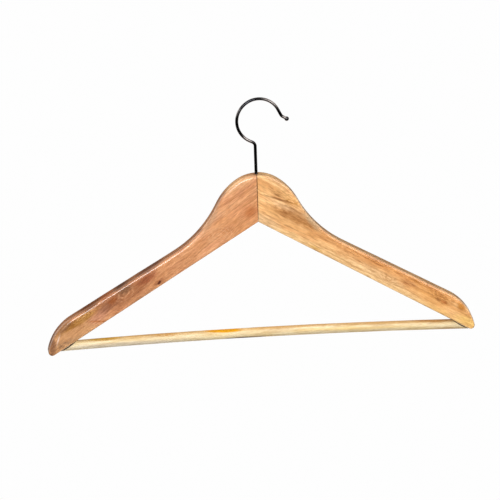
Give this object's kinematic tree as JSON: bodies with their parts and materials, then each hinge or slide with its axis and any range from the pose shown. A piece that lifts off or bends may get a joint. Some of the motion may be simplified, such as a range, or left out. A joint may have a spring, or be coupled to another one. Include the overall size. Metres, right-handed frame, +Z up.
{
  "type": "clothes hanger",
  "caption": "Flat wooden suit hanger with mitred arms, a round trouser bar and a wire hook that swivels in the hub.",
  "frame": {"origin": "the hook's seat: the inside of the wire ring's top, straight above the stem, where the rail bears", "axes": "+X along the width towards the right arm, +Y from the front face to the back face, +Z up"},
  "size_m": [0.445, 0.0144, 0.2656],
  "materials": {
    "left_arm_wood": "clear satin lacquer over reddish brown hardwood",
    "right_arm_wood": "clear satin lacquer over golden hardwood",
    "bar_wood": "sanded pale hardwood with a thin clear lacquer",
    "dowel_wood": "raw hardwood",
    "brad_steel": "bright steel",
    "hook_steel": "polished black nickel",
    "washer_steel": "zinc plated steel"
  },
  "bodies": {
    "hook_assembly": {"hook": "hook_steel", "hook_washer": "washer_steel"},
    "wooden_frame": {"left_arm": "left_arm_wood", "right_arm": "right_arm_wood", "trouser_bar": "bar_wood", "joint_dowel_front": "dowel_wood", "joint_dowel_back": "dowel_wood", "bar_brad_left": "brad_steel", "bar_brad_right": "brad_steel"}
  },
  "joints": [
    {"name": "hook_swivel", "type": "hinge", "parent": "hook_assembly", "child": "wooden_frame", "pos_m": [0, 0, -0.1], "axis": [0, 0, 1], "continuous": true}
  ]
}
